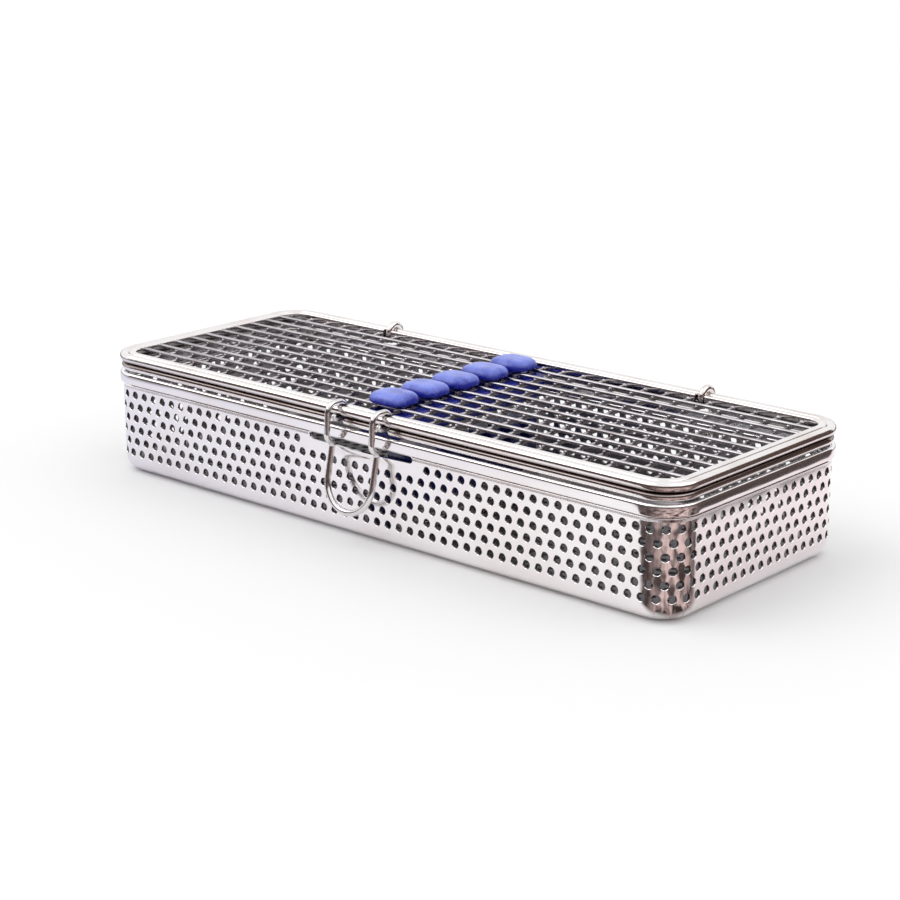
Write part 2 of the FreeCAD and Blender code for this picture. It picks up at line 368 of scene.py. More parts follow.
def blue_silicone():
    """Royal-blue silicone, with painted shade that turns it navy low in the tray, and a painted paler
    highlight on the crowns.
    """
    finish = Finish(bpy.data.materials.new("blue_silicone"))
    grain = finish.noise(2600.0, 3.0)
    cloud = finish.noise(210.0, 3.0)
    # Painted shade: dark navy low in the tray and under the mesh
    rise = finish.height() + (cloud - 0.5) * 0.004
    painted_shade_by_height = finish.spread(rise, 14.0 * MM, mesh_top * MM, 0.0, 1.0)
    body = finish.blend(painted_shade_by_height, (0.004, 0.006, 0.07, 1.0), (0.014, 0.022, 0.34, 1.0))
    # Painted highlight: a paler blue on the button crowns
    painted_sheen_start = (mesh_top + 0.4 * button_height) * MM
    crown = finish.spread(rise, painted_sheen_start, painted_sheen_start + 1.8 * MM, 0.0, 1.0)
    return finish.surface(
        base_color=finish.blend(crown, body, (0.20, 0.26, 0.80, 1.0)),
        roughness=finish.spread(grain, 0.3, 0.7, 0.22, 0.34),
        normal=finish.bump(grain, 0.15, 0.0001),
        ior=1.5,
    )


def pale_floor():
    """White studio floor, whose colour for glossy rays is a painted reflection, which the steel mirrors as a
    pale table top in an unlit room.

    The painted table is greyer to the left, ends a little past the tray's right side in painted dark shade,
    and lies in a streaked brown painted shadow before the corner that points at the camera.
    """
    finish = Finish(bpy.data.materials.new("pale_floor"))
    lavender = (0.70, 0.69, 0.78, 1.0)
    warm_white = (0.95, 0.93, 0.935, 1.0)
    rose = (0.92, 0.83, 0.845, 1.0)
    unlit = (0.035, 0.019, 0.016, 1.0)
    shadow_brown = (0.022, 0.008, 0.007, 1.0)
    streak_brown = (0.74, 0.55, 0.52, 1.0)
    x = finish.along("X")
    y = finish.along("Y")
    uneven = finish.noise(14.0, 3.0)
    painted_reflection = finish.blend(finish.spread(x + uneven * 0.12, -0.12, 0.10, 0.0, 1.0), lavender, warm_white)
    beside = finish.spread(x, wall_x * MM, (wall_x + 8.0) * MM, 0.0, 1.0)
    painted_reflection = finish.blend(beside, painted_reflection, rose)
    # Distance from the middle, 1 at about 190 mm along the tray and 135 mm across it
    reach = finish.node("ShaderNodeCombineXYZ", "Vector", None, {"X": x * 5.3, "Y": y * 7.4})
    far = finish.node("ShaderNodeVectorMath", "Value", {"operation": "LENGTH"}, {0: reach})
    # Painted dark shade of the unlit room beyond the painted table
    past_end = finish.past(x + uneven * 0.004, painted_table_end)
    outside = finish.spread(far, 1.15, 1.6, 0.0, 1.0) + past_end
    painted_reflection = finish.blend(finish.spread(outside, 0.0, 1.0, 0.0, 1.0), painted_reflection, unlit)
    # Painted reflection: brown shadow with paler streaks that fan out from the middle of the corner's curve
    turn = finish.maths("ARCTAN2", y - (wall_radius - wall_y) * MM, x - (wall_x - wall_radius) * MM)
    place = finish.node("ShaderNodeCombineXYZ", "Vector", None, {"X": turn, "Y": far * 2.5})
    aside = finish.maths("ABSOLUTE", turn - (shadow_heading + 0.2))
    streak = finish.spread(finish.noise(3.4, 5.0, place), 0.42, 0.56, 0.0, 1.0)
    streak = streak * finish.spread(aside, 0.5, 1.2, 1.0, 0.1)
    ahead = x * math.cos(shadow_heading) + y * math.sin(shadow_heading) + streak * 0.002
    shadow = finish.past(ahead, shadow_start)
    painted_reflection = finish.blend(shadow, painted_reflection, finish.blend(streak, shadow_brown, streak_brown))
    # Glossy rays see the painted reflection, all other rays the even white floor
    return finish.surface(
        base_color=finish.blend(finish.ray("Is Glossy Ray"), (0.93, 0.93, 0.935, 1.0), painted_reflection),
        roughness=0.9,
    )


def dark_room():
    """Dull brown painted shade of an unlit room, for a sheet that only the steel's reflections see."""
    finish = Finish(bpy.data.materials.new("dark_room"))
    return finish.surface(base_color=(0.10, 0.065, 0.055, 1.0), roughness=1.0, specular_ior_level=0.0)


def mesh_piece(name, points, faces, body, nodes, slot, material, sharp=38.0):
    """A mesh in millimetres that rides on a body and stands for CAD nodes."""
    work = bmesh.new()
    corners = [work.verts.new(Vector(p) * MM) for p in points]
    for face in faces:
        work.faces.new([corners[i] for i in face])
    bmesh.ops.remove_doubles(work, verts=work.verts, dist=1e-6)
    bmesh.ops.dissolve_degenerate(work, edges=work.edges, dist=1e-7)
    bmesh.ops.recalc_face_normals(work, faces=work.faces)
    mesh = bpy.data.meshes.new(name)
    work.to_mesh(mesh)
    work.free()
    mesh.shade_smooth()
    mesh.set_sharp_from_angle(angle=math.radians(sharp))
    mesh.materials.append(material)
    piece = bpy.data.objects.new(name, mesh)
    bpy.context.scene.collection.objects.link(piece)
    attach(piece, body)
    if nodes:
        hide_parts(*nodes)
    return piece


def even_turns(start, end, count):
    """Angles in radians from one to another, which are given in degrees, in equal steps."""
    return [math.radians(start + (end - start) * i / count) for i in range(count + 1)]


def arc_points(centre, across, up, radius, start, end, step=7.0):
    """Points on an arc between two angles in the plane of two directions."""
    count = max(2, math.ceil(abs(end - start) / step))
    return [
        centre + (across * math.cos(turn) + up * math.sin(turn)) * radius
        for turn in even_turns(start, end, count)
    ]


def ring_faces(rings, size, closed=False):
    """Faces between rings of points that follow each other in a list, and over its two ends."""
    faces = []
    for ring in range(rings if closed else rings - 1):
        near = ring * size
        far = (ring + 1) % rings * size
        for i in range(size):
            j = (i + 1) % size
            faces.append((near + i, near + j, far + j, far + i))
    if not closed:
        last = (rings - 1) * size
        faces.append(tuple(range(size))[::-1])
        faces.append(tuple(range(last, last + size)))
    return faces


def bent_run(points, radii, step=7.0):
    """Points of a path with a rounded bend at each inner point."""
    run = [points[0]]
    for before, corner, after, radius in zip(points, points[1:], points[2:], radii):
        back = (before - corner).normalized()
        ahead = (after - corner).normalized()
        half = back.angle(ahead) / 2
        middle = (back + ahead).normalized()
        centre = corner + middle * (radius / math.sin(half))
        first = (corner + back * (radius / math.tan(half)) - centre).normalized()
        side = (middle * -1 - first * first.dot(middle * -1)).normalized()
        run += arc_points(centre, first, side, radius, 0.0, 180.0 - 2 * math.degrees(half), step)
    return run + [points[-1]]


def rounded_end(ring, inward, radius):
    """Rings that round off the end of a wire, from its full width to near its tip."""
    point, tangent, side, _ = ring
    rings = []
    for turn in (math.radians(a) for a in (0, 25, 50, 75)):
        back = radius * (1 - math.sin(turn))
        rings.append((point + tangent * (inward * back), tangent, side, radius * math.cos(turn)))
    return rings


def tube(path, radius, sides=20, closed=False):
    """Points and faces of a round wire along a path, with rounded ends if it is open."""
    count = len(path)
    tangents = []
    for i in range(count):
        before = path[i - 1] if closed or i else path[i]
        after = path[(i + 1) % count] if closed or i < count - 1 else path[i]
        tangents.append((after - before).normalized())
    up = Vector((0.0, 0.0, 1.0))
    if abs(up.dot(tangents[0])) > 0.9:
        up = Vector((1.0, 0.0, 0.0))
    rings = []
    side = tangents[0].cross(up).normalized()
    for point, tangent in zip(path, tangents):
        side = (side - tangent * side.dot(tangent)).normalized()
        rings.append((point, tangent, side, radius))
    if not closed:
        first_end = rounded_end(rings[0], 1, radius)
        last_end = rounded_end(rings[-1], -1, radius)
        rings = first_end[::-1] + rings[1:-1] + last_end
    points = []
    for point, tangent, side, size in rings:
        over = side.cross(tangent)
        for i in range(sides):
            turn = 2 * math.pi * i / sides
            points.append(point + (side * math.cos(turn) + over * math.sin(turn)) * size)
    return points, ring_faces(len(rings), sides, closed)


def outline(way, x, y, radius):
    """Point and outward direction at a way round a rounded rectangle, from the middle of its front."""
    quarter = radius * math.pi / 2
    straight_x = x - radius
    straight_y = 2 * (y - radius)
    way %= 4 * quarter + 4 * straight_x + 2 * straight_y
    legs = [
        (straight_x, (0.0, -y), (1, 0), (0, -1)),
        (quarter, (straight_x, -y + radius), -90.0, None),
        (straight_y, (x, -y + radius), (0, 1), (1, 0)),
        (quarter, (straight_x, y - radius), 0.0, None),
        (2 * straight_x, (straight_x, y), (-1, 0), (0, 1)),
        (quarter, (-straight_x, y - radius), 90.0, None),
        (straight_y, (-x, y - radius), (0, -1), (-1, 0)),
        (quarter, (-straight_x, -y + radius), 180.0, None),
        (straight_x, (-straight_x, -y), (1, 0), (0, -1)),
    ]
    for length, start, heading, outward in legs:
        if way <= length + 1e-9:
            break
        way -= length
    if outward is None:
        turn = math.radians(heading) + way / radius
        normal = (math.cos(turn), math.sin(turn))
        return start[0] + normal[0] * radius, start[1] + normal[1] * radius, *normal
    return start[0] + heading[0] * way, start[1] + heading[1] * way, *outward


def outline_length(x, y, radius):
    """Length of the way once round a rounded rectangle."""
    return 2 * math.pi * radius + 4 * (x - radius) + 4 * (y - radius)


def wall_point(way, out, z):
    """Point at a way round the wall, a distance outside its outer face."""
    px, py, nx, ny = outline(way, wall_x, wall_y, wall_radius)
    return (px + nx * out, py + ny * out, z)


def sheet_point(way, height, depth):
    """Point on the formed sheet, where height runs on down into the rounded floor edge."""
    turn = max(0.0, (floor_radius - height) / floor_radius)
    out = -floor_radius * (1 - math.cos(turn)) - depth * math.cos(turn)
    z = max(height, floor_radius) - (floor_radius - depth) * math.sin(turn)
    return wall_point(way, out, z)


def lip_out(way, z, low):
    """How far the lip under the slot is pressed out."""
    crown = max(0.0, 1 - (way / (lip_length / 2)) ** 2)
    rise = min(1.0, max(0.0, (z - low) / (slot_low - low)))
    return lip_rise * crown * rise * rise * (3 - 2 * rise) if z < slot_top else 0.0


def slot_edge(way):
    """Half the slot's height at a way from its middle."""
    radius = slot_height / 2
    past = abs(way) - (slot_length / 2 - radius)
    if past <= 0:
        return radius
    return math.sqrt(max(0.0, radius * radius - past * past))


def perforated_wall(points, faces):
    """Hole rows all round the wall, each hole with a rolled outer edge."""
    pitch = outline_length(wall_x, wall_y, wall_radius) / holes_round
    rolled = hole_radius + hole_roll
    square = [(2, 0), (2, 1), (2, 2), (1, 2), (0, 2), (-1, 2), (-2, 2), (-2, 1)]
    square += [(-a, -b) for a, b in square]
    sides = len(square)
    for row in range(hole_rows):
        height = hole_row_top - row * hole_row_step
        for column in range(holes_round):
            if row == 0 and min(column, holes_round - column) <= slot_columns:
                continue
            way = (column + 0.5 * (row % 2)) * pitch
            first = len(points)
            for i, (a, b) in enumerate(square):
                turn = 2 * math.pi * i / sides
                cos, sin = math.cos(turn), math.sin(turn)
                edge_way, edge_height = way + a * pitch / 4, height + b * hole_row_step / 4
                rim_way, rim_height = way + hole_radius * cos, height + hole_radius * sin
                points.append(sheet_point(edge_way, edge_height, 0.0))
                points.append(sheet_point(way + rolled * cos, height + rolled * sin, 0.0))
                points.append(sheet_point(rim_way, rim_height, hole_roll_depth))
                points.append(sheet_point(rim_way, rim_height, sheet))
                points.append(sheet_point(edge_way, edge_height, sheet))
            for i in range(sides):
                here = first + 5 * i
                there = first + 5 * ((i + 1) % sides)
                for k in range(4):
                    faces.append((here + k, there + k, there + k + 1, here + k + 1))


def band(points, faces, ways, profile_at, closed=True):
    """Strips between the profiles at neighbouring ways. A profile is a list of runs of points."""
    grids = []
    for way in ways:
        runs = profile_at(way)
        marks = []
        for run in runs:
            marks.append(list(range(len(points), len(points) + len(run))))
            points += run
        grids.append(marks)
    for here, there in zip(grids, grids[1:] + grids[:1] if closed else grids[1:]):
        for run_a, run_b in zip(here, there):
            for a, b, c, d in zip(run_a, run_a[1:], run_b, run_b[1:]):
                faces.append((a, b, d, c))


def rim_profile(way, low, shares):
    """Profile from the holes up the outside, over the hem and down the inside, with the slot.

    The shares say where points lie between the low end and the slot.
    """
    half = slot_edge(way) if abs(way) < slot_length / 2 else 0.0
    middle = (slot_low + slot_top) / 2
    heights = [low + (middle - half - low) * share for share in shares]
    over = [middle + half, hem_low]

    def at(out, z):
        return wall_point(way, out + lip_out(way, z, low), z)

    roll = 0.45
    roll_out, roll_z = hem_proud - roll, hem_low + roll
    under = [(roll_out + roll * math.sin(a), roll_z - roll * math.cos(a)) for a in even_turns(0, 90, 5)]
    top_z = tray_height - hem_proud
    top = [(hem_proud * math.cos(a), top_z + hem_proud * math.sin(a)) for a in even_turns(0, 180, 10)]
    outer_low = [at(0.0, z) for z in heights]
    outer_high = [at(0.0, z) for z in over]
    hem = [at(out, z) for out, z in [(0.0, hem_low), *under, *top]]
    inner_high = [at(-sheet, z) for z in (top_z, hem_low, middle + half)]
    inner_low = [at(-sheet, z) for z in heights[::-1]]
    slot_sill = [outer_low[-1], inner_low[0]]
    slot_head = [outer_high[0], inner_high[-1]]
    return [outer_low, outer_high + hem[1:] + inner_high[1:], inner_low, slot_sill, slot_head]


def rim_bands(points, faces, step):
    """The sheet over the holes, plain round most of the wall and with the slot and lip in front."""
    low = hole_row_top + hole_row_step / 2
    slot_steps = 4 * slot_columns + 2
    beside = slot_steps * step
    plain_ways = [beside + i * step for i in range(4 * holes_round - 2 * slot_steps + 1)]
    band(points, faces, plain_ways, lambda way: rim_profile(way, low, (0.0, 1.0)), closed=False)
    radius = slot_height / 2
    ends = [slot_length / 2 - radius * (1 - math.sin(math.radians(a))) for a in (0, 25, 45, 60, 72, 82, 90)]
    steps = [i * step for i in range(-slot_steps, slot_steps + 1)]
    slot_ways = sorted({round(way, 6) for way in steps + ends + [-e for e in ends]})
    lip_low = low - hole_row_step
    span = (slot_low + slot_top) / 2 - lip_low
    shares = [i * hole_row_step / 4 / span for i in range(5)] + [1.0]
    band(points, faces, slot_ways, lambda way: rim_profile(way, lip_low, shares), closed=False)


def floor_edge(points, faces, ways):
    """The rounded edge under the holes of the wall. Gives its lower rim."""
    high = hole_row_top - (hole_rows - 0.5) * hole_row_step
    floor_way = floor_radius * (1 - math.pi / 2)
    heights = [high + (floor_way - high) * i / 7 for i in range(8)]

    def profile(way):
        outside = [sheet_point(way, height, 0.0) for height in heights]
        inside = [sheet_point(way, height, sheet) for height in heights[::-1]]
        return [outside, inside]

    band(points, faces, ways, profile)
    return [sheet_point(way, floor_way, 0.0) for way in ways]


def tray_sheet_mesh():
    """The whole perforated tray as one closed sheet, with four steps to each column of holes."""
    points = []
    faces = []
    step = outline_length(wall_x, wall_y, wall_radius) / holes_round / 4
    perforated_wall(points, faces)
    rim_bands(points, faces, step)
    rim = floor_edge(points, faces, [i * step for i in range(4 * holes_round)])
    perforated_floor(points, faces, rim)
    return points, faces


def perforated_floor(points, faces, rim):
    """Flat floor inside the rounded edge, with staggered holes."""
    work = bmesh.new()
    edges = []
    holes = []
    for row in range(floor_rows):
        y = (row - (floor_rows - 1) / 2) * floor_row_step
        count = floor_columns - row % 2
        for column in range(count):
            x = (column - (count - 1) / 2) * floor_pitch
            turns = [2 * math.pi * i / floor_hole_sides for i in range(floor_hole_sides)]
            holes.append([(x + hole_radius * math.cos(a), y + hole_radius * math.sin(a)) for a in turns])
    for loop in [rim] + holes:
        corners = [work.verts.new((p[0], p[1], 0.0)) for p in loop]
        for a, b in zip(corners, corners[1:] + corners[:1]):
            edges.append(work.edges.new((a, b)))
    bmesh.ops.triangle_fill(work, use_beauty=False, edges=edges)
    work.verts.index_update()
    for z in (0.0, sheet):
        first = len(points)
        points += [(v.co.x, v.co.y, z) for v in work.verts]
        faces += [tuple(first + v.index for v in f.verts) for f in work.faces]
    work.free()
    for hole in holes:
        first = len(points)
        points += [(x, y, z) for x, y in hole for z in (0.0, sheet)]
        for i in range(floor_hole_sides):
            a, b = first + 2 * i, first + 2 * ((i + 1) % floor_hole_sides)
            faces.append((a, a + 1, b + 1, b))


def ring_path(length, width, radius, z, step=6.0):
    """Closed path round a rounded rectangle."""
    x, y = length / 2, width / 2
    path = []
    for side_x, side_y, start in ((1, -1, -90), (1, 1, 0), (-1, 1, 90), (-1, -1, 180)):
        centre = Vector((side_x * (x - radius), side_y * (y - radius), z))
        path += arc_points(centre, Vector((1, 0, 0)), Vector((0, 1, 0)), radius, start, start + 90, step)
    return path


def broken_paths(length, width, radius, z, step=6.0):
    """The four stretches of a rounded rectangle between the wire eyes."""
    x, y = length / 2, width / 2
    latch_gap = latch_wire / 2 + eye_side_gap
    hinge_gap = hinge_wire / 2 + eye_side_gap
    stretches = []
    for side in (-1, 1):
        corners = [
            Vector((side * (leg_x + latch_gap), -y, z)),
            Vector((side * x, -y, z)),
            Vector((side * x, y, z)),
            Vector((side * (hinge_x + hinge_gap), y, z)),
        ]
        stretches.append(bent_run(corners, [radius, radius], step))
    stretches.append([Vector((s * (leg_x - latch_gap), -y, z)) for s in (-1, 1)])
    stretches.append([Vector((s * (hinge_x - hinge_gap), y, z)) for s in (-1, 1)])
    return stretches


def add_shape(points, faces, shape):
    """Adds another shape's points and faces."""
    first = len(points)
    points += shape[0]
    faces += [tuple(first + i for i in face) for face in shape[1]]


def bar_along(path, profile):
    """Bar with a profile of (outward, up) points along a level path."""
    rings = []
    count = len(path)
    for i, point in enumerate(path):
        tangent = (path[min(i + 1, count - 1)] - path[max(i - 1, 0)]).normalized()
        outward = tangent.cross(Vector((0.0, 0.0, 1.0)))
        rings.append([point + outward * a + Vector((0.0, 0.0, b)) for a, b in profile])
    points = [p for ring in rings for p in ring]
    return points, ring_faces(count, len(profile))


def rounded_profile(width, height, radius, steps=3):
    """Rectangle with rounded corners, in the middle of its frame."""
    profile = []
    for quarter, (side_x, side_y) in enumerate(((1, 1), (-1, 1), (-1, -1), (1, -1))):
        for turn in even_turns(90 * quarter, 90 * quarter + 90, steps):
            x = side_x * (width / 2 - radius) + radius * math.cos(turn)
            y = side_y * (height / 2 - radius) + radius * math.sin(turn)
            profile.append((x, y))
    return profile


def eye_point(x, y, radius, degrees):
    """Point on an eye round the upper rod. 0 degrees is +Y and 90 is up."""
    turn = math.radians(degrees)
    return Vector((x, y + radius * math.cos(turn), upper_rod_z + radius * math.sin(turn)))


def latch_leg(side):
    """Path from the free end of an eye down to the start of the finger loop."""
    x = side * leg_x
    radius = frame_rod / 2 + eye_clearance + latch_wire / 2
    front = tray_width / 2
    start = 90.0 - eye_wrap
    eye = [eye_point(x, -rod_y, radius, start + eye_wrap * i / eye_steps) for i in range(eye_steps + 1)]
    knee = Vector((x, -front - knee_clearance - latch_wire / 2, (slot_low + slot_top) / 2))
    run = [
        eye[-1],
        Vector((x, -front - shoulder_out, upper_rod_z + radius)),
        Vector((x, -front - bulge_out, upper_rod_z - bulge_drop)),
        knee,
        Vector((x, knee.y - loop_lean / 2, knee.z - loop_drop / 2)),
    ]
    return eye[:-1] + bent_run(run, [shoulder_bend, bulge_bend, knee_bend])


def latch_path():
    """The whole latch wire from one eye to the other."""
    left = latch_leg(-1)
    right = latch_leg(1)
    middle = (left[-1] + right[-1]) / 2
    down = Vector((0.0, -loop_lean / 2, -loop_drop / 2)).normalized()
    bottom = arc_points(middle, Vector((-1.0, 0.0, 0.0)), down, leg_x, 0.0, 180.0, 6.0)
    return left + bottom[1:-1] + right[::-1]


def hinge_path(side):
    """A hinge wire from the free end of its eye down the rear wall."""
    x = side * hinge_x
    radius = frame_rod / 2 + eye_clearance + hinge_wire / 2
    rim_y = tray_width / 2 + hinge_wire / 2
    leg_y = wall_y + hinge_wire / 2
    step_top = hem_low - hinge_step_below_hem
    run = [
        eye_point(x, rod_y, radius, 0.0),
        Vector((x, rim_y, step_top)),
        Vector((x, leg_y, step_top - hinge_step_height)),
        Vector((x, leg_y, hinge_leg_low)),
    ]
    eye = [eye_point(x, rod_y, radius, eye_wrap * (1 - i / eye_steps)) for i in range(eye_steps)]
    return eye + bent_run(run, [hinge_bend, hinge_bend])


def round_box(centre, size, radius, steps=4):
    """Box with rounded edges, as its own little mesh."""
    work = bmesh.new()
    bmesh.ops.create_cube(work, size=1.0, matrix=Matrix.Diagonal((*size, 1.0)))
    bmesh.ops.bevel(work, geom=work.edges[:], offset=radius, segments=steps, profile=0.5, affect="EDGES")
    work.verts.index_update()
    points = [v.co + Vector(centre) for v in work.verts]
    faces = [tuple(v.index for v in f.verts) for f in work.faces]
    work.free()
    return points, faces


def button_dome(y):
    """Silicone button: a plump rounded rectangle that draws in towards a soft crown."""
    rise = [math.radians(a) for a in (0, 15, 30, 45, 60, 72, 82)]
    levels = [(0.86, 0.0), (0.96, 0.1)] + [(math.cos(a) ** 0.42, 0.25 + 0.75 * math.sin(a)) for a in rise]
    corner = button_width / 2 - 1.2
    ring = ring_path(button_length, button_width, corner, 0.0, 15.0)
    points = []
    for wide, high in levels:
        points += [Vector((p.x * wide, y + p.y * wide, mesh_top + button_height * high)) for p in ring]
    return points, ring_faces(len(levels), len(ring))


def bead(centre, width, length, height):
    """Small smooth bead where two wires are welded."""
    sides = 10
    middle = Vector(centre)
    points = [middle + Vector((0.0, 0.0, height))]
    for ring in range(1, 4):
        level = math.pi * ring / 4
        out = math.sin(level)
        for i in range(sides):
            turn = 2 * math.pi * i / sides
            x = width * out * math.cos(turn)
            y = length * out * math.sin(turn)
            points.append(middle + Vector((x, y, height * math.cos(level))))
    points.append(middle - Vector((0.0, 0.0, height)))
    last = len(points) - 1
    faces = []
    for i in range(sides):
        j = (i + 1) % sides
        faces.append((0, 1 + i, 1 + j))
        faces.append((last, last - sides + j, last - sides + i))
        for first in (1, 1 + sides):
            faces.append((first + i, first + sides + i, first + sides + j, first + j))
    return points, faces


def mesh_end(place, half_along, half_across):
    """How far a mesh wire at a place across the opening runs before it meets the border."""
    corner = half_across - mesh_radius
    if abs(place) <= corner:
        return half_along
    return half_along - mesh_radius + math.sqrt(mesh_radius**2 - (abs(place) - corner) ** 2)


def outside_rectangle(x, y, half_length, half_width, radius):
    """Distance from a rounded rectangle, negative inside it."""
    past_x = abs(x) - half_length + radius
    past_y = abs(y) - half_width + radius
    return math.hypot(max(past_x, 0.0), max(past_y, 0.0)) + min(max(past_x, past_y), 0.0) - radius


def sheet_depth(x, y, z):
    """How deep a point lies under the tray's outer face."""
    if z >= floor_radius:
        return -outside_rectangle(x, y, wall_x, wall_y, wall_radius)
    flat = (wall_x - floor_radius, wall_y - floor_radius, wall_radius - floor_radius)
    past = outside_rectangle(x, y, *flat)
    return floor_radius - math.hypot(max(past, 0.0), floor_radius - z)


def paint_inside(piece, inner_face, hole_rim_shade):
    """Gives the inner face of the tray and the rims of its holes materials of their own, both darkened with
    painted shade.
    """
    piece.data.materials.append(inner_face)
    piece.data.materials.append(hole_rim_shade)
    edge_depth = 0.12
    inner_depth = 0.85 * sheet
    for face in piece.data.polygons:
        place = face.center / MM
        depth = sheet_depth(*place)
        # Painted shade: the inner face and the hole rims take the darker materials
        if place.z < slot_low and depth > edge_depth:
            face.material_index = 1 if depth > inner_depth else 2


def make_tray(steel, inner_face, hole_rim_shade, wire, silicone):
    """The tray with its rear hinge wires and its holder."""
    piece = mesh_piece("tray_sheet", *tray_sheet_mesh(), "tray", ["tray_shell"], "tray_sheet", steel, 32.0)
    paint_inside(piece, inner_face, hole_rim_shade)
    for word, side in (("left", -1), ("right", 1)):
        shape = tube(hinge_path(side), hinge_wire / 2, 20)
        mesh_piece(f"hinge_wire_{word}", *shape, "tray", [f"hinge_loop_{word}"], "frame_rod", wire)
    make_rail(steel)
    make_comb(silicone)


def make_rail(steel):
    """Folded channel with rounded bends."""
    half = comb_thickness / 2
    outer = half + rail_sheet
    fold = 0.6
    turns = even_turns(0, -90, 5)
    bend = [(outer - fold + fold * math.cos(a), fold + fold * math.sin(a)) for a in turns]
    section = [(half, rail_height), (outer, rail_height), *bend]
    section += [(-a, b) for a, b in section[::-1]]
    section += [(-half, rail_sheet), (half, rail_sheet)]
    points = [(a, y, sheet + b) for y in (-comb_length / 2, comb_length / 2) for a, b in section]
    faces = ring_faces(2, len(section))
    mesh_piece("rail", points, faces, "tray", ["holder_rail"], "tray_sheet", steel, 30.0)


def make_comb(silicone):
    """Silicone comb with round-bottomed notches and soft edges."""
    low = sheet + rail_sheet
    half = comb_length / 2
    radius = notch_width / 2
    mouth = 0.8
    section = [(-half, low), (-half, comb_top)]
    for i in range(notch_count):
        y = (i - (notch_count - 1) / 2) * notch_pitch
        section += [(y - radius - mouth, comb_top), (y - radius, comb_top - mouth)]
        root = comb_top - notch_depth + radius
        turns = even_turns(180, 360, 8)
        section += [(y + radius * math.cos(a), root + radius * math.sin(a)) for a in turns]
        section += [(y + radius, comb_top - mouth), (y + radius + mouth, comb_top)]
    section += [(half, comb_top), (half, low)]
    points = [(s * comb_thickness / 2, y, z) for s in (-1, 1) for y, z in section]
    faces = ring_faces(2, len(section))
    piece = mesh_piece("silicone_comb", points, faces, "tray", ["holder_comb"], "silicone", silicone, 40.0)
    soften = piece.modifiers.new("soft edges", "BEVEL")
    soften.width = 0.45 * MM
    soften.segments = 3
    soften.limit_method = "ANGLE"
    soften.angle_limit = math.radians(50)


def make_lid(rod, wire, silicone):
    """The lid's two rods and border, its mesh and its hold-down strip."""
    upper = ring_path(lid_length - frame_rod, lid_width - frame_rod, lid_radius - frame_rod / 2, upper_rod_z)
    shape = tube(upper, frame_rod / 2, 24, closed=True)
    mesh_piece("rim_rod_upper", *shape, "lid", ["lid_upper_rod"], "frame_rod", rod)
    points, faces = [], []
    inset = 2 * lower_rod_inset + lower_rod
    lower_size = (lid_length - inset, lid_width - inset, lid_radius - inset / 2)
    for path in broken_paths(*lower_size, lower_rod_z):
        add_shape(points, faces, tube(path, lower_rod / 2, 24))
    mesh_piece("rim_rod_lower", points, faces, "lid", ["lid_lower_rod"], "frame_rod", rod)
    points, faces = [], []
    inset = 2 * frame_rod + border_width
    flat_size = (lid_length - inset, lid_width - inset, lid_radius - inset / 2)
    profile = rounded_profile(border_width, border_height, 0.4)
    for path in broken_paths(*flat_size, border_top - border_height / 2):
        add_shape(points, faces, bar_along(path, profile))
    mesh_piece("mesh_border", points, faces, "lid", ["lid_mesh_border"], "frame_rod", rod)
    make_mesh(wire)
    make_hold_down(silicone)


def make_mesh(wire):
    """Every wire of the mesh, and the welds where they cross and where they end."""
    half_long, half_wide = mesh_length / 2, mesh_width / 2
    run_in = 0.3
    weld_wide, weld_narrow, weld_crossing = 0.8, 0.45, 0.72
    welds = ([], [])
    for i in range(1, columns):
        x = i * column_pitch - half_long
        reach = mesh_end(x, half_wide, half_long) + run_in
        path = [Vector((x, s * reach, cross_wire_z)) for s in (-1, 1)]
        node = f"lid_cross_wire_{i:02d}"
        mesh_piece(f"mesh_{node[4:]}", *tube(path, mesh_wire / 2, 16), "lid", [node], "mesh_wire", wire)
        for s in (-1, 1):
            add_shape(*welds, bead((x, s * (reach - run_in), cross_wire_z), weld_wide, weld_narrow, 0.7))
    for j in range(1, rows):
        y = j * row_pitch - half_wide
        reach = mesh_end(y, half_long, half_wide) + run_in
        path = [Vector((s * reach, y, long_wire_z)) for s in (-1, 1)]
        node = f"lid_long_wire_{j:02d}"
        mesh_piece(f"mesh_{node[4:]}", *tube(path, mesh_wire / 2, 16), "lid", [node], "mesh_wire", wire)
        for s in (-1, 1):
            add_shape(*welds, bead((s * (reach - run_in), y, long_wire_z), weld_narrow, weld_wide, 0.62))
        for i in range(1, columns):
            crossing = (i * column_pitch - half_long, y, (long_wire_z + cross_wire_z) / 2)
            add_shape(*welds, bead(crossing, weld_crossing, weld_crossing, 0.5))
    mesh_piece("mesh_welds", *welds, "lid", [], "mesh_wire", wire, 60.0)


def make_hold_down(silicone):
    """Moulded silicone strip under the mesh, with buttons pushed up through it."""
    length = mesh_width - 2 * strip_end_gap
    points, faces = [], []
    strip_z = mesh_low - strip_depth / 2
    strip_edge = 1.2
    strip = (strip_width, length, strip_depth)
    add_shape(points, faces, round_box((0.0, 0.0, strip_z), strip, strip_edge))
    neck_run_in = 1.0
    neck_edge = 0.9
    neck = (neck_width, neck_width, mesh_top - mesh_low + 2 * neck_run_in)
    for i in range(button_count):
        y = (i - (button_count - 1) / 2) * button_rows * row_pitch
        add_shape(points, faces, round_box((0.0, y, (mesh_low + mesh_top) / 2), neck, neck_edge))
        add_shape(points, faces, button_dome(y))
    piece = mesh_piece(
        "silicone_hold_down", points, faces, "lid", ["hold_down_strip"], "silicone", silicone, 60.0
    )
    mould = piece.modifiers.new("one moulding", "REMESH")
    mould.mode = "VOXEL"
    mould.voxel_size = 0.3 * MM
    mould.use_smooth_shade = True
    ease = piece.modifiers.new("soft edges", "SMOOTH")
    ease.factor = 0.5
    ease.iterations = 4


def make_latch(steel):
    """The latch's one bent wire."""
    shape = tube(latch_path(), latch_wire / 2, 20)
    mesh_piece("latch_wire", *shape, "latch", ["latch_bail"], "latch_wire", steel)


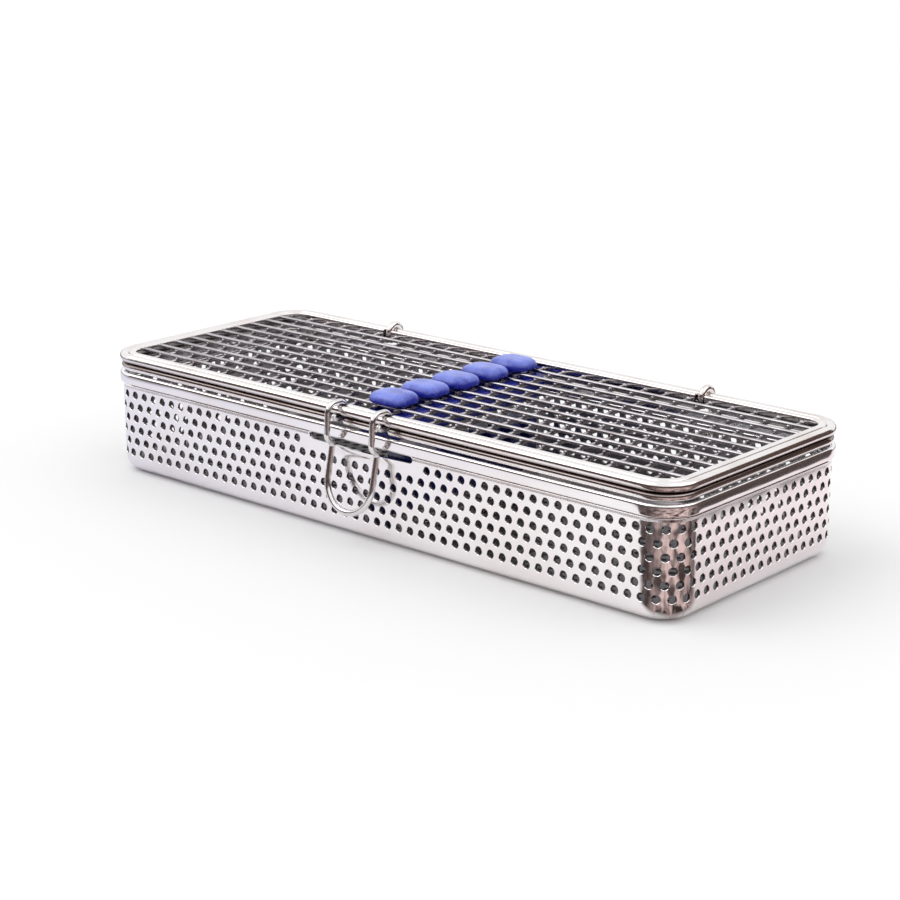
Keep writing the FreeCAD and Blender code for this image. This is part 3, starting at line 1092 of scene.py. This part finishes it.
def make_room():
    """Upright curved wall round the camera's side, which only the polished steel mirrors."""
    points = []
    for turn in even_turns(-95, 115, room_panels):
        x = math.cos(camera_heading + turn) * room_radius
        y = math.sin(camera_heading + turn) * room_radius
        points += [Vector((x, y, z)) * MM for z in (0.0, room_height)]
    faces = [(2 * i, 2 * i + 2, 2 * i + 3, 2 * i + 1) for i in range(room_panels)]
    mesh = bpy.data.meshes.new("room")
    mesh.from_pydata(points, [], faces)
    mesh.materials.append(dark_room())
    room = bpy.data.objects.new("room", mesh)
    room.visible_camera = False
    room.visible_diffuse = False
    room.visible_shadow = False
    bpy.context.scene.collection.objects.link(room)


def make_studio():
    """Pale floor, soft lamps and a white surround."""
    half = 6000.0 * MM
    mesh = bpy.data.meshes.new("floor")
    corners = [(-half, -half, 0.0), (half, -half, 0.0), (half, half, 0.0), (-half, half, 0.0)]
    mesh.from_pydata(corners, [], [(0, 1, 2, 3)])
    mesh.materials.append(pale_floor())
    floor = bpy.data.objects.new("floor", mesh)
    floor.location.z = -0.1 * MM
    bpy.context.scene.collection.objects.link(floor)
    make_room()
    for name, toward, spread, strength in (
        ("lamp_left", (-0.55, -0.45, 0.85), 50.0, 0.75),
        ("lamp_right", (0.6, 0.2, 0.8), 60.0, 0.45),
    ):
        data = bpy.data.lights.new(name, "SUN")
        data.angle = math.radians(spread)
        data.energy = strength
        lamp = bpy.data.objects.new(name, data)
        lamp.rotation_euler = Vector(toward).to_track_quat("Z", "Y").to_euler()
        bpy.context.scene.collection.objects.link(lamp)
    world = bpy.data.worlds.new("surround")
    bpy.context.scene.world = world
    finish = Finish(world)
    straight = finish.ray("Is Camera Ray")
    mirrored = finish.ray("Is Glossy Ray")
    through = finish.ray("Is Transmission Ray")
    shown = finish.spread(straight + mirrored + through, 0.0, 1.0, 0.0, 1.0)
    white = (1.0, 1.0, 1.0, 1.0)
    light = finish.node("ShaderNodeBackground", "Background", None, {"Color": white, "Strength": 0.8})
    backdrop = finish.node("ShaderNodeBackground", "Background", None, {"Color": white, "Strength": 1.0})
    both = finish.node("ShaderNodeMixShader", "Shader", None, {0: shown, 1: light, 2: backdrop})
    finish.node("ShaderNodeOutputWorld", None, None, {"Surface": both})


make_camera()
bpy.context.scene.view_settings.view_transform = "Standard"
sheet_finish = sheet_steel()
rod_finish = frame_steel()
wire_finish = mesh_steel()
silicone_finish = blue_silicone()
make_tray(sheet_finish, sheet_steel_inside(), hole_rim_painted_shade(), rod_finish, silicone_finish)
make_lid(rod_finish, wire_finish, silicone_finish)
make_latch(latch_steel())
make_studio()
